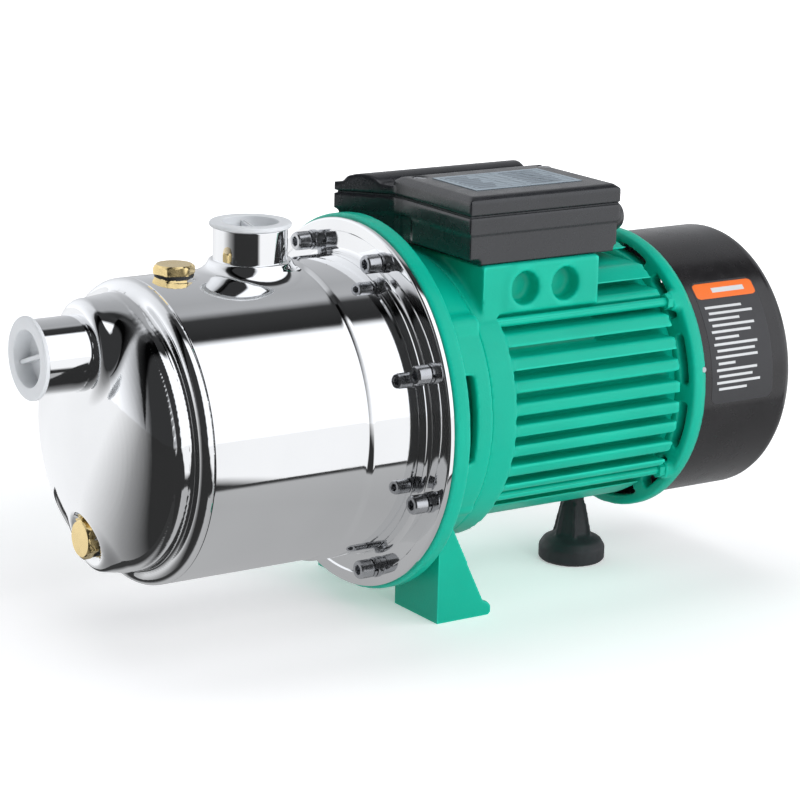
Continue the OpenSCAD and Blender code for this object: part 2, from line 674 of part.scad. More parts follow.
// Lower shell of the terminal box
module terminal_box_base() color("darkslategray") difference() {
    union() {
        slab(box_outline(1, 0.6), box_floor + 3.3, box_seam - box_floor - 3.3);
        slab(box_outline(0, 0.6), box_step, box_seam - box_step);
        block([flange_x + 43, box_near_y + 1, box_floor], [flange_x + 131, box_far_y - 2, box_floor + 4]);
    }
    slab(box_outline(1 + box_wall, 0.6), box_floor + 5.5, 40);
    difference() {
        slab(box_outline(-2, 0.6), box_step - 0.5, 0.5);
        slab(box_outline(1.6, 0.6), box_step - 1, 2);
    }
    block([box_front_x - 5, -2, box_floor], [box_front_x + 1.9, 9, box_step]);
    rod(gland_at.x - 5, 10, 6.05, [gland_at.y, gland_at.z], 48);
    post(flange_x + 90, -5, 70, 20, 9);
}

// Thin seal between the box and its lid
module box_gasket() color("black") difference() {
    slab(box_outline(0.8, 0.6), box_seam, gasket_thickness);
    slab(box_outline(1 + box_wall, 0.6), box_seam - 1, 5);
}

// Lid of the terminal box with a half-round hump over the capacitor
module terminal_box_lid() color("darkslategray") difference() {
    union() {
        slab(box_outline(0, 0.6), box_seam + gasket_thickness, 5.2);
        hull() {
            slab([for (p = box_outline(0, 0.6)) [max(p.x, box_front_x), min(p.y, 15)]], box_seam + 2, lid_top - box_seam - 4.4);
            slab([for (p = box_outline(3, 0.6)) [max(p.x, box_front_x + 2), min(p.y, 12)]], lid_top - 1, 1);
        }
        intersection() {
            hull() {
                rod(box_nose_x + 6, box_rear_x - box_nose_x - 13, hump_r, [hump_y, box_seam], 32);
                rod(box_nose_x, box_rear_x - box_nose_x - 1, hump_r - 5, [hump_y, box_seam], 32);
            }
            slab(box_outline(0, 0.6), box_seam + 2, 30);
        }
    }
    slab(box_outline(1 + box_wall, 0.6), box_seam - 1, 4.5);
    rod(box_nose_x + 26, box_rear_x - box_nose_x - 38, hump_r - box_wall, [hump_y, box_seam], 32);
    for (x = [flange_x + 46.5, flange_x + 130]) post(x, 6.5, lid_top - 2.2, 5, 4, 32);
}

// Two screws that hold the lid
module lid_screws() color("gray") for (x = [flange_x + 46.5, flange_x + 130]) difference() {
    post(x, 6.5, lid_top - 2.2, 1.6, 3.5, 32);
    block([x - 3, 6.1, lid_top - 1.4], [x + 3, 6.9, lid_top]);
}

// Plain data plate on the lid
module lid_plate() color("lightsteelblue") block([flange_x + 50, -41, lid_top], [flange_x + 120, 0, lid_top + 0.5]);

// Motor capacitor under the hump of the lid
module capacitor() color("whitesmoke") rod(box_front_x + 9, 75, 11.5, [box_far_y - 16, box_floor + 17.4]);

// Terminal block on the floor of the box
module terminal_block() color("beige") difference() {
    block([flange_x + 50, -48, box_floor + 5.5], [flange_x + 76, -18, box_floor + 17]);
    for (y = [-43, -33, -23]) for (x = [flange_x + 55, flange_x + 71]) post(x, y, box_floor + 9, 20, 2.2, 24);
}

// Body of the cable gland in the rear wall of the box
module gland_body() color("black") difference() {
    union() {
        rod(gland_at.x - 4, 5, 6, [gland_at.y, gland_at.z], 48);
        rod(gland_at.x, 4, 9.6, [gland_at.y, gland_at.z], 6);
        rod(gland_at.x + 3, 5, 6.8, [gland_at.y, gland_at.z], 48);
    }
    rod(gland_at.x - 6, 20, 4, [gland_at.y, gland_at.z], 48);
}

// Domed nut of the cable gland
module gland_nut() color("black") difference() {
    translate([0, gland_at.y, shaft_height + gland_at.z]) rotate([0, 90, 0]) rotate_extrude() polygon(
        [[4, gland_at.x + 8], [8.5, gland_at.x + 4], [9, gland_at.x + 4.6], [9, gland_at.x + 9], [7.4, gland_at.x + 12.5], [5.4, gland_at.x + 13.5], [4, gland_at.x + 13.5]]);
    rod(gland_at.x + 2, 6, 6.85, [gland_at.y, gland_at.z], 48);
}

pump_casing();
front_cover();
suction_fitting();
discharge_fitting();
suction_cap();
discharge_cap();
priming_plug();
priming_washer();
drain_plug();
drain_washer();
casing_screws();
casing_washers();
casing_o_ring();
seal_plate();
diffuser();
suction_elbow();
jet_nozzle();
venturi_tube();
impeller();
impeller_nut();
seal_seat();
seal_head();
slinger();
motor_bracket();
shaft();
bearing_outer_races();
bearing_inner_races();
bearing_balls();
wave_washer();
rotor_core();
rotor_end_rings();
stator_core();
stator_windings();
motor_housing();
rear_shield();
tie_bolts();
fan();
fan_clip();
fan_cover();
fan_cover_screws();
cover_label();
rear_foot();
rear_foot_screw();
terminal_box_base();
box_gasket();
terminal_box_lid();
lid_screws();
lid_plate();
capacitor();
terminal_block();
gland_body();
gland_nut();
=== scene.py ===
import math

import bmesh
import bpy
import numpy as np
from mathutils import Matrix, Vector


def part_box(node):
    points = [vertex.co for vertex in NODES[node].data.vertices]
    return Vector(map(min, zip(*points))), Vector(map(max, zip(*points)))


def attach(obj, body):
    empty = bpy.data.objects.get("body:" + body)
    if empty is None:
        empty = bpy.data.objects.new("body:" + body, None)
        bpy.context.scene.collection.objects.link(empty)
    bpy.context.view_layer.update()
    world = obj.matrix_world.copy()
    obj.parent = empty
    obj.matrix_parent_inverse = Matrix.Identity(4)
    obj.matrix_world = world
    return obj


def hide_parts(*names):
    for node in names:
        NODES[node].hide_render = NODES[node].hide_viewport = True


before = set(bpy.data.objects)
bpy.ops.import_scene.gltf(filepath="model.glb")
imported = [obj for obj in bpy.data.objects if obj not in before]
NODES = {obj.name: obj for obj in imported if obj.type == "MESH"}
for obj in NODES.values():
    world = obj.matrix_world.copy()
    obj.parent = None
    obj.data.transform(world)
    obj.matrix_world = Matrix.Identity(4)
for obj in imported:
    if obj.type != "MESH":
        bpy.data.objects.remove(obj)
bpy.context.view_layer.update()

MM = 0.001

# ---------------------------------------------------------------- places, in millimetres, from the frame


def box_mm(node):
    """Lowest and highest corner of a CAD node in millimetres."""
    low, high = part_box(node)
    return low / MM, high / MM


flange_low, flange_high = box_mm("pump_casing")
cover_low, cover_high = box_mm("front_cover")
suction_low, suction_high = box_mm("suction_fitting")
discharge_low, discharge_high = box_mm("discharge_fitting")
priming_low, priming_high = box_mm("priming_plug")
drain_low, drain_high = box_mm("drain_plug")
label_low, label_high = box_mm("cover_label")
plate_low, plate_high = box_mm("lid_plate")
fan_cover_low, fan_cover_high = box_mm("fan_cover")

FLANGE_X = flange_high.x
SHAFT_Z = (flange_low.z + flange_high.z) / 2
FLANGE_R = (flange_high.y - flange_low.y) / 2
BARREL_R = (cover_high.y - cover_low.y) / 2
BARREL_FRONT_X = cover_high.x
SUCTION_Z = (suction_low.z + suction_high.z) / 2 - SHAFT_Z
DISCHARGE_X = (discharge_low.x + discharge_high.x) / 2
PRIMING_X = (priming_low.x + priming_high.x) / 2
DRAIN_Z = (drain_low.z + drain_high.z) / 2 - SHAFT_Z
FAN_COVER_R = (fan_cover_high.y - fan_cover_low.y) / 2
STEP_X = FLANGE_X - 38
COLLAR_R = BARREL_R + 1.4
SCREW_CIRCLE_R = 90
SHEET_THICKNESS = 1.8
NECK_X = BARREL_FRONT_X - 13.3
NECK_R = 70.6
DOME_R = 69.6
DOME_DEPTH = 25.5
SUCTION_FACE = 164.5
DRAIN_FACE = 156
DRAIN_BOSS_R = 18
DRAIN_POCKET_R = 13
PORT_HOLE_R = 18.6
PLUG_HOLE_R = 6.4
PLUG_SHANK = 9
PRIMING_HEX_HEIGHT = 5
DRAIN_HEX_HEIGHT = 5.8
SCREW_ANGLES = [22.5 + 45 * i for i in range(8)]

# ---------------------------------------------------------------- material helpers


def new_material(name):
    """A material with an empty node tree apart from its shader and output."""
    material = bpy.data.materials.new(name)
    material.use_nodes = True
    tree = material.node_tree
    shader = tree.nodes["Principled BSDF"]
    return material, tree, shader


def noise(tree, scale, detail=4.0, stretch=(1, 1, 1)):
    """Noise in the object's own metres; stretch squeezes it along an axis."""
    place = tree.nodes.new("ShaderNodeTexCoord")
    mapping = tree.nodes.new("ShaderNodeMapping")
    mapping.inputs["Scale"].default_value = stretch
    texture = tree.nodes.new("ShaderNodeTexNoise")
    texture.inputs["Scale"].default_value = scale
    texture.inputs["Detail"].default_value = detail
    tree.links.new(place.outputs["Object"], mapping.inputs["Vector"])
    tree.links.new(mapping.outputs["Vector"], texture.inputs["Vector"])
    return texture.outputs["Fac"]


def ramp(tree, factor, stops):
    """Colour ramp through (position, colour) stops."""
    node = tree.nodes.new("ShaderNodeValToRGB")
    elements = node.color_ramp.elements
    while len(elements) < len(stops):
        elements.new(0.5)
    for element, (position, colour) in zip(elements, stops):
        element.position = position
        element.color = (*colour, 1)
    tree.links.new(factor, node.inputs["Fac"])
    return node.outputs["Color"]


def remap(tree, value, low, high, new_low, new_high):
    """Value moved from one range to another."""
    node = tree.nodes.new("ShaderNodeMapRange")
    node.inputs["From Min"].default_value = low
    node.inputs["From Max"].default_value = high
    node.inputs["To Min"].default_value = new_low
    node.inputs["To Max"].default_value = new_high
    tree.links.new(value, node.inputs["Value"])
    return node.outputs["Result"]


def shade(colour, factor):
    """Colour made lighter or darker."""
    return tuple(min(1.0, c * factor) for c in colour)


def add_bump(tree, shader, height, strength, distance):
    """Bump from a height between 0 and 1."""
    bump = tree.nodes.new("ShaderNodeBump")
    bump.inputs["Strength"].default_value = strength
    bump.inputs["Distance"].default_value = distance
    tree.links.new(height, bump.inputs["Height"])
    tree.links.new(bump.outputs["Normal"], shader.inputs["Normal"])


def surface(name, colour, metallic=0.0, roughness=(0.3, 0.4), variation=0.06, patch_scale=30,
            grain_scale=900, grain=0.15, grain_depth=0.0002, stretch=(1, 1, 1), coat=0.0, wear_and_highlight=None,
            specular=0.5):
    """A finish with uneven colour, uneven gloss and a fine grain; the given edge colour lightens its sharp
    edges, partly as wear and partly as a painted highlight.
    """
    material, tree, shader = new_material(name)
    patches = noise(tree, patch_scale)
    tint = ramp(tree, patches, [(0.3, shade(colour, 1 - variation)), (0.7, shade(colour, 1 + variation))])
    # Sharp edges lightened: partly wear, partly a painted highlight where the edges catch the light.
    if wear_and_highlight:
        edges = tree.nodes.new("ShaderNodeNewGeometry").outputs["Pointiness"]
        wear_and_highlight_mask = remap(tree, edges, 0.52, 0.58, 0.0, 1.0)
        mix = tree.nodes.new("ShaderNodeMix")
        mix.data_type = "RGBA"
        tree.links.new(wear_and_highlight_mask, mix.inputs["Factor"])
        tree.links.new(tint, mix.inputs["A"])
        mix.inputs["B"].default_value = (*wear_and_highlight, 1)
        tint = mix.outputs["Result"]
    tree.links.new(tint, shader.inputs["Base Color"])
    gloss = noise(tree, patch_scale * 3, stretch=stretch)
    tree.links.new(remap(tree, gloss, 0.3, 0.7, *roughness), shader.inputs["Roughness"])
    add_bump(tree, shader, noise(tree, grain_scale, 3, stretch), grain, grain_depth)
    shader.inputs["Metallic"].default_value = metallic
    shader.inputs["Coat Weight"].default_value = coat
    shader.inputs["Coat Roughness"].default_value = 0.12
    shader.inputs["Specular IOR Level"].default_value = specular
    return material


# ---------------------------------------------------------------- the finishes

POLISHED = surface("polished_steel", (0.90, 0.905, 0.91), 1.0, (0.035, 0.07), 0.03, 14, 60, 0.04, 0.0004)
BRUSHED = surface("steel", (0.55, 0.56, 0.58), 1.0, (0.2, 0.34), 0.08, 60, 1500, 0.1, 0.0001)
# Its lighter edge colour is partly wear and partly a painted highlight.
GREEN = surface("green_paint", (0.001, 0.42, 0.29), 0.0, (0.3, 0.42), 0.07, 22, 700, 0.35, 0.00025,
                coat=0.04, wear_and_highlight=(0.01, 0.62, 0.45), specular=0.22)
BLACK = surface("black_paint", (0.012, 0.011, 0.012), 0.0, (0.2, 0.3), 0.2, 40, 500, 0.12, 0.0002, coat=0.2)
BOX = surface("box_plastic", (0.014, 0.015, 0.018), 0.0, (0.22, 0.32), 0.1, 50, 1600, 0.3, 0.00012,
              specular=0.8)
WHITE = surface("white_plastic", (0.70, 0.72, 0.74), 0.0, (0.3, 0.42), 0.02, 40, 900, 0.08, 0.0001)
BRASS = surface("brass", (0.90, 0.70, 0.34), 1.0, (0.16, 0.3), 0.08, 70, 900, 0.12, 0.0001)
RUBBER = surface("rubber", (0.022, 0.024, 0.027), 0.0, (0.5, 0.65), 0.15, 60, 1400, 0.3, 0.00015)
INNER = surface("inner_plastic", (0.05, 0.05, 0.055), 0.0, (0.4, 0.55), 0.1, 50, 1000, 0.2, 0.0001)
COPPER = surface("copper", (0.72, 0.32, 0.15), 1.0, (0.25, 0.4), 0.12, 90, 2200, 0.5, 0.0003, (1, 0.1, 0.1))
CERAMIC = surface("ceramic", (0.82, 0.80, 0.76), 0.0, (0.12, 0.2), 0.03, 80, 800, 0.05, 0.0001, coat=0.4)
SHEETS = surface("sheet_stack", (0.30, 0.31, 0.33), 1.0, (0.35, 0.5), 0.12, 60, 1500, 0.5, 0.0002,
                 (3, 0.05, 0.05))
LABEL = surface("label", (0.030, 0.030, 0.033), 0.0, (0.3, 0.4), 0.06, 60, 1200, 0.06, 0.00008)
ORANGE = surface("label_header", (0.86, 0.16, 0.014), 0.0, (0.3, 0.4), 0.05, 60, 1200, 0.06, 0.00008)
PRINT = surface("label_print", (0.62, 0.63, 0.64), 0.0, (0.35, 0.45), 0.04, 60, 1200, 0.05, 0.00005)
PLATE = surface("data_plate", (0.36, 0.44, 0.50), 0.3, (0.28, 0.42), 0.05, 60, 1800, 0.1, 0.00006,
                (0.1, 1, 1))
PLATE_INK = surface("plate_ink", (0.10, 0.12, 0.15), 0.0, (0.35, 0.45), 0.08, 60, 1200, 0.05, 0.00005)

# ---------------------------------------------------------------- mesh helpers


def finished(name, mesh, finish, slot, *nodes, body="housing"):
    """Puts a mesh in the scene as a piece that rides on a body and stands for CAD nodes."""
    piece = bpy.data.objects.new(name, mesh)
    bpy.context.scene.collection.objects.link(piece)
    mesh.materials.append(finish)
    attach(piece, body)
    if nodes:
        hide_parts(*nodes)
    return piece


def smooth(mesh, angle=35):
    """Smooth shading with creases sharper than the angle."""
    mesh.polygons.foreach_set("use_smooth", [True] * len(mesh.polygons))
    mesh.set_sharp_from_angle(angle=math.radians(angle))


def from_bmesh(name, form, scale=MM):
    """A mesh made from a bmesh in millimetres."""
    bmesh.ops.recalc_face_normals(form, faces=form.faces)
    form.transform(Matrix.Scale(scale, 4))
    mesh = bpy.data.meshes.new(name)
    form.to_mesh(mesh)
    form.free()
    return mesh


def add_modifier(piece, kind, **values):
    """Adds a modifier and sets its values."""
    modifier = piece.modifiers.new(kind.lower(), kind)
    for key, value in values.items():
        setattr(modifier, key, value)
    return modifier


def rounded_edges(piece, width, segments=2, angle=30):
    """Small round on every sharp edge."""
    add_modifier(piece, "BEVEL", width=width * MM, segments=segments, limit_method="ANGLE",
                 angle_limit=math.radians(angle), harden_normals=True, use_clamp_overlap=True)


def ring_faces(form, loops, closed=True):
    """Joins neighbouring loops of vertices with quads."""
    pairs = zip(loops, loops[1:] + loops[:1]) if closed else zip(loops, loops[1:])
    for first, second in pairs:
        for i, vertex in enumerate(first):
            j = (i + 1) % len(first)
            form.faces.new((vertex, first[j], second[j], second[i]))


def axes_to(origin, direction):
    """Matrix that stands +Z on a direction, at an origin."""
    turn = Vector(direction).to_track_quat("Z", "Y").to_matrix().to_4x4()
    return Matrix.Translation(Vector(origin)) @ turn


def lathe(form, profile, matrix=Matrix.Identity(4), steps=128):
    """Adds a body of revolution about local Z; profile is a closed list of (radius, height)."""
    rings = []
    for step in range(steps):
        angle = 2 * math.pi * step / steps
        spot = (math.cos(angle), math.sin(angle))
        rings.append([form.verts.new(matrix @ Vector((r * spot[0], r * spot[1], h))) for r, h in profile])
    ring_faces(form, rings)
    bmesh.ops.remove_doubles(form, verts=form.verts, dist=0.0005)
    return form


def arc(centre, radius, start, end, steps=6):
    """Points of a circle from one angle to another, in degrees."""
    turns = [math.radians(start + (end - start) * i / steps) for i in range(steps + 1)]
    return [(centre[0] + radius * math.cos(t), centre[1] + radius * math.sin(t)) for t in turns]


# ---------------------------------------------------------------- blended skins of the casing


def smooth_union(a, b, reach):
    """Union of two distances with a round fillet between them."""
    near = np.clip(reach - np.abs(a - b), 0, None)
    return np.minimum(a, b) - near * near / (4 * reach)


def outline_distance(x, r, outline):
    """Signed distance to a closed outline, negative inside."""
    best = np.full(len(x), 1e18)
    inside = np.zeros(len(x), bool)
    for (ax, ar), (bx, br) in zip(outline, outline[1:] + outline[:1]):
        ex, er = bx - ax, br - ar
        along = np.clip(((x - ax) * ex + (r - ar) * er) / (ex * ex + er * er + 1e-12), 0, 1)
        best = np.minimum(best, (x - ax - along * ex) ** 2 + (r - ar - along * er) ** 2)
        if br != ar:
            crosses = (ar > r) != (br > r)
            inside ^= crosses & (x < (r - ar) * ex / er + ax)
    return np.where(inside, -1, 1) * np.sqrt(best)


def post_distance(across, along, radius, low, high, edge):
    """Signed distance to a round post with rounded ends."""
    a = np.abs(across) - radius + edge
    b = np.maximum(low - along, along - high) + edge
    outside = np.sqrt(np.clip(a, 0, None) ** 2 + np.clip(b, 0, None) ** 2)
    return outside + np.minimum(np.maximum(a, b), 0) - edge


def barrel_skin(p):
    """Distance to the casing barrel with its discharge collar and priming boss."""
    x, y, z = p[:, 0], p[:, 1], p[:, 2] - SHAFT_Z
    step = np.clip((x - STEP_X + 1.2) / 1.6, 0, 1)
    radius = BARREL_R + (COLLAR_R - BARREL_R) * step * step * (3 - 2 * step)
    barrel = np.maximum(np.sqrt(y * y + z * z) - radius, np.maximum(BARREL_FRONT_X - 4 - x, x - FLANGE_X + 4))
    collar = post_distance(np.sqrt((x - DISCHARGE_X) ** 2 + y * y), z, 21.4, 0, 84.6, 1.2)
    boss = post_distance(np.sqrt((x - PRIMING_X) ** 2 + y * y), z, 11.4, 40, BARREL_R + 0.25, 0.3)
    return smooth_union(smooth_union(barrel, collar, 9), boss, 1.5)


def cover_profile():
    """Closed outline of the front cover as (x, radius): rolled bead, neck and flattened dome."""
    bead = [(BARREL_FRONT_X + 6, 0), (BARREL_FRONT_X + 6, BARREL_R), (BARREL_FRONT_X - 0.3, BARREL_R)]
    bead += [(BARREL_FRONT_X - 0.7, BARREL_R - 0.5), (BARREL_FRONT_X - 1.1, BARREL_R - 0.1)]
    bead += arc((BARREL_FRONT_X - 1.4, BARREL_R - 5.2), 5.2, 88, 172, 9)
    fillet = arc((BARREL_FRONT_X - 8.2, NECK_R + 1.6), 1.6, 0, -90, 5)
    neck = [(NECK_X + 0.4, NECK_R), (NECK_X - 0.1, NECK_R - 0.3)]
    turns = [math.radians(4 + 86 * i / 26) for i in range(27)]
    dome = [(NECK_X - DOME_DEPTH * math.sin(t), DOME_R * math.cos(t)) for t in turns]
    return bead + fillet + neck + dome


def cover_skin(p):
    """Distance to the front cover with its suction and drain bosses."""
    x, y, z = p[:, 0], p[:, 1], p[:, 2] - SHAFT_Z
    body = outline_distance(x, np.sqrt(y * y + z * z), cover_profile())
    suction = post_distance(np.sqrt(y * y + (z - SUCTION_Z) ** 2), -x, 27.3, 0, SUCTION_FACE - FLANGE_X, 6)
    from_drain = np.sqrt(y * y + (z - DRAIN_Z) ** 2)
    drain = post_distance(from_drain, -x, DRAIN_BOSS_R, 0, DRAIN_FACE - FLANGE_X, 4)
    pocket = post_distance(from_drain, -x, DRAIN_POCKET_R, DRAIN_FACE - FLANGE_X, 400, 0.5)
    return -smooth_union(-smooth_union(smooth_union(body, suction, 9), drain, 9), pocket, 2.5)


def slopes(skin, p, value):
    """Gradient of a skin's distance."""
    step = 0.01
    columns = []
    for axis in range(3):
        moved = p.copy()
        moved[:, axis] += step
        columns.append((skin(moved) - value) / step)
    return np.stack(columns, 1)


def skin_mesh(name, solids, skin, voxel, planes, holes):
    """Wraps solids in an even net, draws it onto the exact skin, and trims it at planes and holes."""
    raw = bpy.data.objects.new(name + "_raw", from_bmesh(name + "_raw", solids, 1.0))
    bpy.context.scene.collection.objects.link(raw)
    add_modifier(raw, "REMESH", mode="VOXEL", voxel_size=voxel)
    net = bpy.data.meshes.new_from_object(raw.evaluated_get(bpy.context.evaluated_depsgraph_get()))
    bpy.data.objects.remove(raw)
    points = np.empty(len(net.vertices) * 3)
    net.vertices.foreach_get("co", points)
    points = points.reshape(-1, 3)
    for _ in range(6):
        value = skin(points)
        slope = slopes(skin, points, value)
        points -= (value / np.maximum((slope ** 2).sum(1), 0.2))[:, None] * slope
    net.vertices.foreach_set("co", points.ravel())
    form = bmesh.new()
    form.from_mesh(net)
    for place, normal in planes:
        everything = form.verts[:] + form.edges[:] + form.faces[:]
        bmesh.ops.bisect_plane(form, geom=everything, plane_co=place, plane_no=normal, clear_outer=True)
    gone = [f for f in form.faces if any(hole(f.calc_center_median()) for hole in holes)]
    bmesh.ops.delete(form, geom=gone, context="FACES")
    mesh = from_bmesh(name, form)
    smooth(mesh, 50)
    return mesh


def in_post(axis, spot, radius, above):
    """Test for a face inside a round hole along an axis, past a height on it."""
    others = [i for i in range(3) if i != axis]

    def test(point):
        across = math.hypot(point[others[0]] - spot[0], point[others[1]] - spot[1])
        return across < radius and (point[axis] - above) * (1 if axis == 2 else -1) > 0

    return test


def make_casing():
    """Polished barrel with its drawn discharge collar, and the screwed flange behind it."""
    solids = bmesh.new()
    length = FLANGE_X - BARREL_FRONT_X
    lathe(solids, [(0, 0), (BARREL_R, 0), (BARREL_R, length), (0, length)],
          axes_to((BARREL_FRONT_X - 4, 0, SHAFT_Z), (1, 0, 0)))
    lathe(solids, [(0, 0), (22, 0), (22, 84.5), (0, 84.5)], axes_to((DISCHARGE_X, 0, SHAFT_Z), (0, 0, 1)), 48)
    planes = [((FLANGE_X - 9, 0, 0), (1, 0, 0)), ((BARREL_FRONT_X, 0, 0), (-1, 0, 0))]
    holes = [in_post(2, (DISCHARGE_X, 0), PORT_HOLE_R, SHAFT_Z + 50),
             in_post(2, (PRIMING_X, 0), PLUG_HOLE_R, SHAFT_Z + 50)]
    mesh = skin_mesh("casing_barrel", solids, barrel_skin, 1.5, planes, holes)
    barrel = finished("casing_barrel", mesh, POLISHED, "polished_steel", "pump_casing")
    add_modifier(barrel, "SOLIDIFY", thickness=SHEET_THICKNESS * MM, offset=-1)
    inner = COLLAR_R - 2
    front = FLANGE_X - 2.5
    profile = [(inner, FLANGE_X - 9), (COLLAR_R, FLANGE_X - 9)]
    profile += arc((COLLAR_R + 3.2, FLANGE_X - 5.7), 3.2, 180, 90, 8)
    profile += [(92.4, front), (93.2, front - 0.75)]
    profile += arc((FLANGE_R - 1.2, front + 0.45), 1.2, -90, 0, 4)
    profile += [(FLANGE_R, FLANGE_X - 0.5), (FLANGE_R - 0.5, FLANGE_X), (inner, FLANGE_X)]
    form = lathe(bmesh.new(), profile, axes_to((0, 0, SHAFT_Z), (1, 0, 0)), 192)
    flange = from_bmesh("casing_flange", form)
    smooth(flange, 40)
    finished("casing_flange", flange, POLISHED, "polished_steel")


def make_front_cover():
    """Domed front of the casing, with its two bosses blended into the dome."""
    solids = bmesh.new()
    spin = [(r, x) for x, r in cover_profile()]
    lathe(solids, spin, axes_to((0, 0, SHAFT_Z), (1, 0, 0)))
    for rise, radius, face in ((SUCTION_Z, 27, SUCTION_FACE), (DRAIN_Z, DRAIN_BOSS_R, DRAIN_FACE)):
        reach = FLANGE_X - face
        lathe(solids, [(0, 0), (radius, 0), (radius, BARREL_FRONT_X - reach), (0, BARREL_FRONT_X - reach)],
              axes_to((BARREL_FRONT_X, 0, SHAFT_Z + rise), (-1, 0, 0)), 64)
    planes = [((BARREL_FRONT_X, 0, 0), (1, 0, 0))]
    holes = [in_post(0, (0, SHAFT_Z + SUCTION_Z), PORT_HOLE_R, BARREL_FRONT_X),
             in_post(0, (0, SHAFT_Z + DRAIN_Z), PLUG_HOLE_R, BARREL_FRONT_X)]
    mesh = skin_mesh("front_dome", solids, cover_skin, 1.3, planes, holes)
    dome = finished("front_dome", mesh, POLISHED, "polished_steel", "front_cover")
    add_modifier(dome, "SOLIDIFY", thickness=SHEET_THICKNESS * MM, offset=-1)


# ---------------------------------------------------------------- pipe fittings, caps and plugs


def make_fitting(name, node, matrix, low, face):
    """Turned pipe fitting with a chamfered mouth and a few thread turns inside."""
    profile = [(15.4, low), (19.2, low), (19.5, low + 0.3), (19.5, face - 1.0)]
    profile += arc((18.6, face - 0.9), 0.9, 0, 90, 4)
    profile += [(17.1, face), (16.8, face - 0.3), (16.8, face - 9), (15.2, face - 9)]
    profile += [(15.2 + 0.7 * (i % 2), face - 9.6 - 0.9 * i) for i in range(16)]
    form = lathe(bmesh.new(), profile, matrix, 128)
    mesh = from_bmesh(name, form)
    smooth(mesh, 40)
    finished(name, mesh, POLISHED, "polished_steel", node)


def make_cap(name, node, body, matrix, face):
    """Moulded transit cap: a rolled rim, a recessed cup and a web across it to pull on."""
    rim = 21.5
    profile = [(0, face - 8), (16.4, face - 8), (16.7, face - 7.6), (16.7, face), (rim - 0.5, face)]
    profile += arc((rim - 0.6, face + 0.6), 0.6, -80, 0, 3)
    profile += arc((rim - 0.9, face + 1.6), 0.9, 0, 90, 4)
    profile += arc((15.2, face + 1.9), 0.6, 90, 180, 3)
    profile += [(14.4, face - 5.6), (13.8, face - 6.4), (0, face - 6.4)]
    form = lathe(bmesh.new(), profile, matrix, 96)
    web = bmesh.ops.create_cube(form, size=1)["verts"]
    for vertex in web:
        vertex.co = matrix @ Vector((vertex.co.x * 29.4, vertex.co.y * 2.2, face - 3.6 + vertex.co.z * 6.4))
    edges = list({e for v in web for e in v.link_edges})
    bmesh.ops.bevel(form, geom=edges, offset=0.5, segments=2, affect="EDGES")
    mesh = from_bmesh(name, form)
    smooth(mesh, 40)
    finished(name, mesh, WHITE, "white_plastic", node, body=body)


def make_plug(name, node, body, matrix, height, shank):
    """Brass hexagon plug with a chamfered head and a threaded shank."""
    form = bmesh.new()
    flats = 19
    corner = flats / 2 / math.cos(math.radians(30))
    steps = 72
    rings = []
    levels = [(0.0, 0.97), (0.5, 1.0), (height - 1.5, 1.0), (height - 0.7, 0.93), (height, 0.84)]
    for z, grow in levels:
        ring = []
        for i in range(steps):
            t = math.radians(360 * i / steps)
            flat = flats / 2 / math.cos((t + math.pi / 6) % (math.pi / 3) - math.pi / 6)
            radius = min(flat, corner * grow)
            ring.append(form.verts.new(matrix @ Vector((radius * math.cos(t), radius * math.sin(t), z))))
        rings.append(ring)
    ring_faces(form, rings, closed=False)
    form.faces.new(rings[0])
    form.faces.new(rings[-1])
    thread = [(0, 0.2)]
    thread += [(6.3 - 0.6 * (i % 2), -0.45 * i) for i in range(1, int(shank / 0.45))]
    thread += [(5.4, -shank), (0, -shank)]
    lathe(form, thread, matrix, 48)
    mesh = from_bmesh(name, form)
    smooth(mesh, 25)
    finished(name, mesh, BRASS, "brass", node, body=body)


# ---------------------------------------------------------------- flange screws


def make_flange_screws():
    """Socket head screws with knurled heads, each on a split spring washer and a flat washer."""
    screws = bmesh.new()
    washers = bmesh.new()
    for angle in SCREW_ANGLES:
        spot = (0, SCREW_CIRCLE_R * math.cos(math.radians(angle)),
                SHAFT_Z + SCREW_CIRCLE_R * math.sin(math.radians(angle)))
        matrix = axes_to((FLANGE_X, spot[1], spot[2]), (-1, 0, 0))
        add_knurled_head(screws, matrix, 6.9, 14.9)
        lathe(screws, [(0, -7.5), (2.6, -7.5), (3, -7.1), (3, 7.2), (0, 7.2)], matrix, 24)
        add_split_washer(washers, matrix, 4.7, 6.8)
        lathe(washers, [(3.15, 2.6), (5.4, 2.6), (5.5, 2.7), (5.5, 4.5), (5.3, 4.7), (3.15, 4.7)], matrix, 40)
    screw_mesh = from_bmesh("flange_screws", screws)
    smooth(screw_mesh, 35)
    finished("flange_screws", screw_mesh, BRUSHED, "steel", "casing_screws")
    washer_mesh = from_bmesh("flange_washers", washers)
    smooth(washer_mesh, 35)
    finished("flange_washers", washer_mesh, BRUSHED, "steel", "casing_washers")


def add_knurled_head(form, matrix, low, high):
    """Head of a socket screw: knurled side, chamfered top and a hexagon socket."""
    steps = 72
    rings = []
    levels = [(low, 4.7, 0), (low + 0.5, 5.0, 0), (low + 0.9, 5.0, 0.16), (high - 1.3, 5.0, 0.16),
              (high - 0.8, 4.95, 0), (high, 4.4, 0)]
    for z, radius, depth in levels:
        radii = [radius - depth * (i % 2) for i in range(steps)]
        rings.append(ring_at(form, matrix, radii, z))
    sixth = math.pi / 3
    turns = [2 * math.pi * i / steps for i in range(steps)]
    hexagon = [2.5 / math.cos((t + sixth / 2) % sixth - sixth / 2) for t in turns]
    rings.append(ring_at(form, matrix, [r + 0.15 for r in hexagon], high))
    rings.append(ring_at(form, matrix, hexagon, high - 0.2))
    rings.append(ring_at(form, matrix, hexagon, high - 4.2))
    ring_faces(form, rings, closed=False)
    form.faces.new(rings[0])
    form.faces.new(rings[-1])


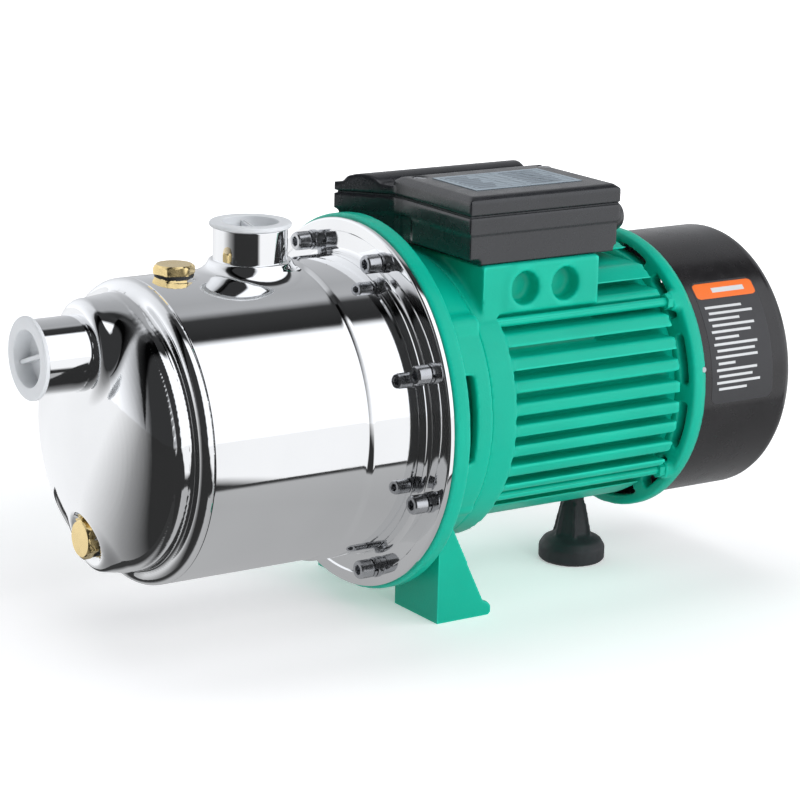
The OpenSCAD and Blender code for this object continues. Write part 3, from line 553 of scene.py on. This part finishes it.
def ring_at(form, matrix, radii, z):
    """Loop of vertices with its own radius at each step."""
    turn = 2 * math.pi / len(radii)
    spots = [(r * math.cos(turn * i), r * math.sin(turn * i)) for i, r in enumerate(radii)]
    return [form.verts.new(matrix @ Vector((x, y, z))) for x, y in spots]


def add_split_washer(form, matrix, low, high):
    """Spring washer: a coil of a square wire that climbs a little between its two ends."""
    steps = 40
    rise = 0.5
    loops = []
    for i in range(steps + 1):
        t = math.radians(8 + 344 * i / steps)
        z = low + rise * i / steps
        top = z + high - low - rise
        corners = ((3.2, z), (5.0, z), (5.0, top), (3.2, top))
        spots = [Vector((r * math.cos(t), r * math.sin(t), h)) for r, h in corners]
        loops.append([form.verts.new(matrix @ spot) for spot in spots])
    ring_faces(form, loops, closed=False)
    form.faces.new(loops[0])
    form.faces.new(loops[-1])


# ---------------------------------------------------------------- printed labels, without any lettering


def curved_patch(form, radius, start, end, low_x, high_x, lift, corner=0.0, steps=24):
    """Thin plate that follows the fan cover, from angle start to end and from low_x to high_x."""
    tops = []
    for i in range(steps + 1):
        share = i / steps
        angle = math.radians(start + (end - start) * share)
        arc_left = min(share, 1 - share) * math.radians(abs(end - start)) * radius
        inset = corner - math.sqrt(max(corner ** 2 - max(corner - arc_left, 0) ** 2, 0)) if corner else 0
        loop = []
        for r in (radius, radius + lift):
            for x in (low_x + inset, high_x - inset):
                loop.append(form.verts.new((x, r * math.cos(angle), SHAFT_Z + r * math.sin(angle))))
        tops.append([loop[0], loop[1], loop[3], loop[2]])
    ring_faces(form, tops, closed=False)
    form.faces.new(tops[0])
    form.faces.new(tops[-1])


def make_cover_label():
    """Dark label on the fan cover with an orange header and rows of plain bars."""
    low_x, high_x = label_low.x, label_high.x
    ground = bmesh.new()
    curved_patch(ground, FAN_COVER_R, 132, 186, low_x, high_x, 0.12, 3)
    mesh = from_bmesh("side_label", ground)
    smooth(mesh)
    finished("side_label", mesh, LABEL, "label", "cover_label")
    header = bmesh.new()
    curved_patch(header, FAN_COVER_R + 0.12, 133, 140.5, low_x + 0.8, high_x - 0.8, 0.08, 2.5, 12)
    mesh = from_bmesh("side_label_header", header)
    smooth(mesh)
    finished("side_label_header", mesh, ORANGE, "label")
    rows = bmesh.new()
    curved_patch(rows, FAN_COVER_R + 0.2, 135.6, 137.9, low_x + 13, high_x - 8, 0.05, 0, 4)
    lengths = (26, 31, 22, 30, 28, 17, 31, 27, 30, 12, 29, 24, 31, 20)
    for i, length in enumerate(lengths):
        start = 144 + 2.7 * i
        left = low_x + (5 if i % 2 else 3.5)
        curved_patch(rows, FAN_COVER_R + 0.12, start, start + 1.1, left, left + length, 0.05, 0, 3)
    mesh = from_bmesh("side_label_rows", rows)
    smooth(mesh)
    finished("side_label_rows", mesh, PRINT, "label")


def flat_bar(form, low, high):
    """Thin box between two corners."""
    matrix = Matrix.Translation((Vector(low) + Vector(high)) / 2)
    size = Vector(high) - Vector(low)
    bmesh.ops.create_cube(form, size=1, matrix=matrix @ Matrix.Diagonal((*size, 1)))


def make_data_plate():
    """Plain data plate on the lid: a metal plate with a ruled grid and bars where values would be."""
    low, high = plate_low, plate_high
    base = bmesh.new()
    flat_bar(base, (low.x, low.y, low.z), (high.x, high.y, high.z - 0.12))
    piece = finished("lid_data_plate", from_bmesh("lid_data_plate", base), PLATE, "data_plate", "lid_plate")
    rounded_edges(piece, 0.12, 2)
    ink = bmesh.new()
    top = high.z - 0.12
    rows = 8
    pitch = (high.y - low.y - 6) / rows
    for i in range(rows + 1):
        y = low.y + 3 + pitch * i
        flat_bar(ink, (low.x + 3, y - 0.12, top), (high.x - 3, y + 0.12, top + 0.06))
    for x in (low.x + 3, low.x + 26, (low.x + high.x) / 2, high.x - 22, high.x - 3):
        flat_bar(ink, (x - 0.12, low.y + 3, top), (x + 0.12, high.y - 3, top + 0.06))
    for i in range(rows):
        y = low.y + 3 + pitch * (i + 0.5)
        words = ((low.x + 5, 12 + 2 * (i % 3)), (low.x + 40, 14 - 2 * (i % 2)), (high.x - 19, 9 + i % 4))
        for x, length in words:
            flat_bar(ink, (x, y - 0.6, top), (x + length, y + 0.6, top + 0.06))
    mesh = from_bmesh("lid_plate_marks", ink)
    finished("lid_plate_marks", mesh, PLATE_INK, "data_plate")


# ---------------------------------------------------------------- finishes on the CAD nodes that stay

CAD_FINISH = [
    ("rubber", RUBBER, ["priming_washer", "drain_washer", "casing_o_ring", "seal_head", "slinger",
                        "box_gasket"]),
    ("steel", BRUSHED, ["seal_plate", "impeller", "impeller_nut", "shaft", "bearing_outer_races",
                        "bearing_inner_races", "bearing_balls", "wave_washer", "rotor_end_rings", "fan_clip",
                        "fan_cover_screws", "rear_foot_screw", "lid_screws"]),
    ("steel", SHEETS, ["rotor_core", "stator_core"]),
    ("inner_plastic", INNER, ["diffuser", "suction_elbow", "venturi_tube", "fan"]),
    ("brass", BRASS, ["jet_nozzle"]),
    ("ceramic", CERAMIC, ["seal_seat"]),
    ("copper", COPPER, ["stator_windings"]),
    ("green_paint", GREEN, ["tie_bolts"]),
    ("white_plastic", WHITE, ["capacitor", "terminal_block"]),
    ("box_plastic", BOX, ["gland_body", "gland_nut"]),
    ("black_paint", BLACK, ["fan_cover"]),
]


def finish_cad_nodes():
    """Gives every CAD node that stays its finish and smooth shading."""
    for slot, finish, nodes in CAD_FINISH:
        for node in nodes:
            piece = NODES[node]
            piece.data.materials.clear()
            piece.data.materials.append(finish)
            smooth(piece.data, 30)


# ---------------------------------------------------------------- castings and mouldings with soft edges

SOFT_PIECES = [
    ("motor_bracket", "motor_bracket_cast", GREEN, "green_paint", 1.25, 3),
    ("motor_housing", "motor_housing_cast", GREEN, "green_paint", 1.4, 3),
    ("rear_shield", "rear_shield_cast", GREEN, "green_paint", 1.1, 2),
    ("terminal_box_base", "box_moulding", BOX, "box_plastic", 0.9, 3),
    ("terminal_box_lid", "lid_moulding", BOX, "box_plastic", 0.9, 5),
    ("rear_foot", "rubber_foot", RUBBER, "rubber", 0.8, 2),
]


def soften(node, voxel, passes):
    """Mesh made from a CAD node, with every edge and inner corner rounded as a mould leaves them."""
    source = NODES[node]
    copy = bpy.data.objects.new(node + "_raw", source.data.copy())
    bpy.context.scene.collection.objects.link(copy)
    add_modifier(copy, "REMESH", mode="VOXEL", voxel_size=voxel * MM)
    add_modifier(copy, "SMOOTH", factor=0.5, iterations=passes)
    mesh = bpy.data.meshes.new_from_object(copy.evaluated_get(bpy.context.evaluated_depsgraph_get()))
    bpy.data.objects.remove(copy)
    mesh.materials.clear()
    mesh.name = node + "_cast"
    smooth(mesh, 60)
    return mesh


def make_soft_pieces():
    """The painted castings, the plastic box and the rubber foot."""
    for node, name, finish, slot, voxel, passes in SOFT_PIECES:
        finished(name, soften(node, voxel, passes), finish, slot, node)


# ---------------------------------------------------------------- studio


def math_node(tree, operation, first, second):
    """Result of a math node; each input is a socket or a number."""
    node = tree.nodes.new("ShaderNodeMath")
    node.operation = operation
    for socket, value in zip(node.inputs, (first, second)):
        if isinstance(value, (int, float)):
            socket.default_value = value
        else:
            tree.links.new(value, socket)
    return node.outputs["Value"]


def grey(value):
    """A faintly cool grey."""
    return (value, value * 1.01, value * 1.03)


# Brightness of the studio walls by compass angle: 0 is the near side and 90 the fan end
WALLS = [(-180, 0.9), (-150, 1.0), (-118, 0.95), (-95, 0.3), (-79, 0.03), (-14, 0.03), (-5, 1.0), (62, 1.0),
         (100, 0.7), (128, 0.5), (150, 0.5), (180, 0.9)]
# Brightness by the angle around the shaft axis, with a dark gap between the near and the far ceiling lights
CEILING = [(-180, 1.0), (74, 1.0), (79, 0.02), (98, 0.05), (105, 0.6), (180, 1.0)]
# Painted reflection for the polished steel: grey painted shade of the floor around the pump, from its middle
# to a dark painted shadow at its edge, and where it lies
REFLECTED_FLOOR_SHADE = [(0.0, 0.36), (0.9, 0.46), (0.95, 0.04), (1.0, 0.04)]
REFLECTED_SHADE_MIDDLE_X = 0.12
REFLECTED_SHADE_SIZE = (0.32, 0.23)


def angle_bands(tree, first, second, bands):
    """Grey by the angle atan2(first, second), from (degrees, brightness) pairs."""
    turn = math_node(tree, "ARCTAN2", first, second)
    share = remap(tree, turn, -math.pi, math.pi, 0.0, 1.0)
    return ramp(tree, share, [((angle + 180) / 360, grey(value)) for angle, value in bands])


def multiply(tree, first, second):
    """Product of two colours."""
    mix = tree.nodes.new("ShaderNodeMix")
    mix.data_type = "RGBA"
    mix.blend_type = "MULTIPLY"
    mix.inputs["Factor"].default_value = 1.0
    tree.links.new(first, mix.inputs["A"])
    tree.links.new(second, mix.inputs["B"])
    return mix.outputs["Result"]


def make_floor():
    """Pale floor, plain to the camera; to glossy rays it glows with a painted reflection: grey painted shade
    around the pump, a dark painted shadow at its edge, and the studio walls beyond.
    """
    mesh = bpy.data.meshes.new("floor")
    size = 60
    corners = [(-size, -size, 0), (size, -size, 0), (size, size, 0), (-size, size, 0)]
    mesh.from_pydata(corners, [], [(0, 1, 2, 3)])
    floor = bpy.data.objects.new("floor", mesh)
    bpy.context.scene.collection.objects.link(floor)
    material, tree, shader = new_material("floor")
    tint = ramp(tree, noise(tree, 3), [(0.3, (0.92, 0.92, 0.92)), (0.7, (0.94, 0.94, 0.94))])
    tree.links.new(tint, shader.inputs["Base Color"])
    shader.inputs["Roughness"].default_value = 0.9
    shader.inputs["Emission Color"].default_value = (1, 1, 1, 1)
    distance = tree.nodes.new("ShaderNodeVectorMath")
    distance.operation = "LENGTH"
    tree.links.new(tree.nodes.new("ShaderNodeNewGeometry").outputs["Position"], distance.inputs[0])
    glow = remap(tree, distance.outputs["Value"], 0.25, 1.2, 0.3, 0.9)
    tree.links.new(glow, shader.inputs["Emission Strength"])
    split = tree.nodes.new("ShaderNodeSeparateXYZ")
    tree.links.new(tree.nodes.new("ShaderNodeNewGeometry").outputs["Position"], split.inputs["Vector"])
    x = split.outputs["X"]
    y = split.outputs["Y"]
    walls = angle_bands(tree, x, math_node(tree, "MULTIPLY", y, -1), WALLS)
    # Painted reflection for glossy rays: grey painted shade around the pump, a dark painted shadow at its
    # edge, the studio walls beyond.
    from_middle = math_node(tree, "SUBTRACT", x, REFLECTED_SHADE_MIDDLE_X)
    along = math_node(tree, "ABSOLUTE", math_node(tree, "DIVIDE", from_middle, REFLECTED_SHADE_SIZE[0]), 0)
    across = math_node(tree, "ABSOLUTE", math_node(tree, "DIVIDE", y, REFLECTED_SHADE_SIZE[1]), 0)
    edge = math_node(tree, "MAXIMUM", along, across)
    painted_floor_shade = ramp(tree, edge, [(place, grey(value)) for place, value in REFLECTED_FLOOR_SHADE])
    painted_reflection = tree.nodes.new("ShaderNodeEmission")
    around = tree.nodes.new("ShaderNodeMix")
    around.data_type = "RGBA"
    tree.links.new(math_node(tree, "GREATER_THAN", edge, 1.0), around.inputs["Factor"])
    tree.links.new(painted_floor_shade, around.inputs["A"])
    tree.links.new(walls, around.inputs["B"])
    tree.links.new(around.outputs["Result"], painted_reflection.inputs["Color"])
    mix = tree.nodes.new("ShaderNodeMixShader")
    tree.links.new(tree.nodes.new("ShaderNodeLightPath").outputs["Is Glossy Ray"], mix.inputs["Fac"])
    tree.links.new(shader.outputs["BSDF"], mix.inputs[1])
    tree.links.new(painted_reflection.outputs["Emission"], mix.inputs[2])
    tree.links.new(mix.outputs["Shader"], tree.nodes["Material Output"].inputs["Surface"])
    mesh.materials.append(material)


def make_world():
    """Studio surroundings: bright and dark walls, a dark gap overhead, and a pale background to the eye."""
    world = bpy.data.worlds.new("studio")
    world.use_nodes = True
    bpy.context.scene.world = world
    tree = world.node_tree
    tree.nodes.clear()
    split = tree.nodes.new("ShaderNodeSeparateXYZ")
    tree.links.new(tree.nodes.new("ShaderNodeTexCoord").outputs["Generated"], split.inputs["Vector"])
    near = math_node(tree, "MULTIPLY", split.outputs["Y"], -1)
    walls = angle_bands(tree, split.outputs["X"], near, WALLS)
    ceiling = angle_bands(tree, split.outputs["Z"], near, CEILING)
    seen = tree.nodes.new("ShaderNodeBackground")
    seen.inputs["Color"].default_value = (1, 1, 1, 1)
    seen.inputs["Strength"].default_value = 1.0
    lit = tree.nodes.new("ShaderNodeBackground")
    lit.inputs["Strength"].default_value = 1.2
    tree.links.new(multiply(tree, walls, ceiling), lit.inputs["Color"])
    path = tree.nodes.new("ShaderNodeLightPath")
    mix = tree.nodes.new("ShaderNodeMixShader")
    tree.links.new(path.outputs["Is Camera Ray"], mix.inputs["Fac"])
    tree.links.new(lit.outputs["Background"], mix.inputs[1])
    tree.links.new(seen.outputs["Background"], mix.inputs[2])
    output = tree.nodes.new("ShaderNodeOutputWorld")
    tree.links.new(mix.outputs["Shader"], output.inputs["Surface"])


def add_light(name, place, target, size, power):
    """Rectangular soft light aimed at a point, not seen in reflections."""
    lamp = bpy.data.lights.new(name, "AREA")
    lamp.shape = "RECTANGLE"
    lamp.size, lamp.size_y = size
    lamp.energy = power
    light = bpy.data.objects.new(name, lamp)
    light.location = place
    light.rotation_mode = "QUATERNION"
    light.rotation_quaternion = (Vector(target) - Vector(place)).to_track_quat("-Z", "Y")
    light.visible_glossy = False
    bpy.context.scene.collection.objects.link(light)


def make_lights():
    """Soft key from the near side, a weaker fill from the fan end and a light from above."""
    middle = (0.0, 0.0, 0.11)
    add_light("key", (-0.3, -1.9, 1.3), middle, (1.4, 1.0), 15)
    add_light("fill", (1.6, -1.2, 0.9), middle, (1.2, 1.2), 5)
    add_light("top", (0.1, 0.5, 2.0), middle, (1.6, 1.0), 10)


def make_camera():
    """Camera at the viewing angle of the photograph."""
    data = bpy.data.cameras.new("camera")
    data.lens = 129.07
    data.sensor_width = 36
    camera = bpy.data.objects.new("camera", data)
    azimuth, elevation, roll = (math.radians(a) for a in (-34.069, 14.415, 1.504))
    back = Vector((math.sin(azimuth) * math.cos(elevation), -math.cos(azimuth) * math.cos(elevation),
                   math.sin(elevation)))
    right = Vector((math.cos(azimuth), math.sin(azimuth), 0))
    up = back.cross(right)
    across = math.cos(roll) * right + math.sin(roll) * up
    rise = back.cross(across)
    camera.matrix_world = Matrix.Translation((-0.855798, -1.254925, 0.498351)) @ Matrix(
        (across, rise, back)).transposed().to_4x4()
    bpy.context.scene.collection.objects.link(camera)
    bpy.context.scene.camera = camera


# ---------------------------------------------------------------- the scene

bpy.context.scene.view_settings.view_transform = "Standard"
make_camera()
make_world()
make_lights()
make_floor()
finish_cad_nodes()
make_casing()
make_front_cover()
SUCTION_AXES = axes_to((0, 0, SHAFT_Z + SUCTION_Z), (-1, 0, 0))
DISCHARGE_AXES = axes_to((DISCHARGE_X, 0, 0), (0, 0, 1))
make_fitting("suction_mouth", "suction_fitting", SUCTION_AXES, -suction_high.x, -suction_low.x)
make_fitting("discharge_mouth", "discharge_fitting", DISCHARGE_AXES, discharge_low.z, discharge_high.z)
make_cap("suction_transit_cap", "suction_cap", "suction_cap",
         SUCTION_AXES @ Matrix.Rotation(math.radians(20), 4, "Z"), -suction_low.x)
make_cap("discharge_transit_cap", "discharge_cap", "discharge_cap",
         DISCHARGE_AXES @ Matrix.Rotation(math.radians(75), 4, "Z"), discharge_high.z)
PRIMING_AXES = axes_to((PRIMING_X, 0, priming_high.z - PRIMING_HEX_HEIGHT), (0, 0, 1))
DRAIN_AXES = axes_to((drain_low.x + DRAIN_HEX_HEIGHT, 0, SHAFT_Z + DRAIN_Z), (-1, 0, 0))
make_plug("priming_hex", "priming_plug", "priming_plug",
          PRIMING_AXES @ Matrix.Rotation(math.radians(12), 4, "Z"), PRIMING_HEX_HEIGHT, PLUG_SHANK)
make_plug("drain_hex", "drain_plug", "drain_plug",
          DRAIN_AXES @ Matrix.Rotation(math.radians(8), 4, "Z"), DRAIN_HEX_HEIGHT, PLUG_SHANK)
make_flange_screws()
make_soft_pieces()
make_cover_label()
make_data_plate()
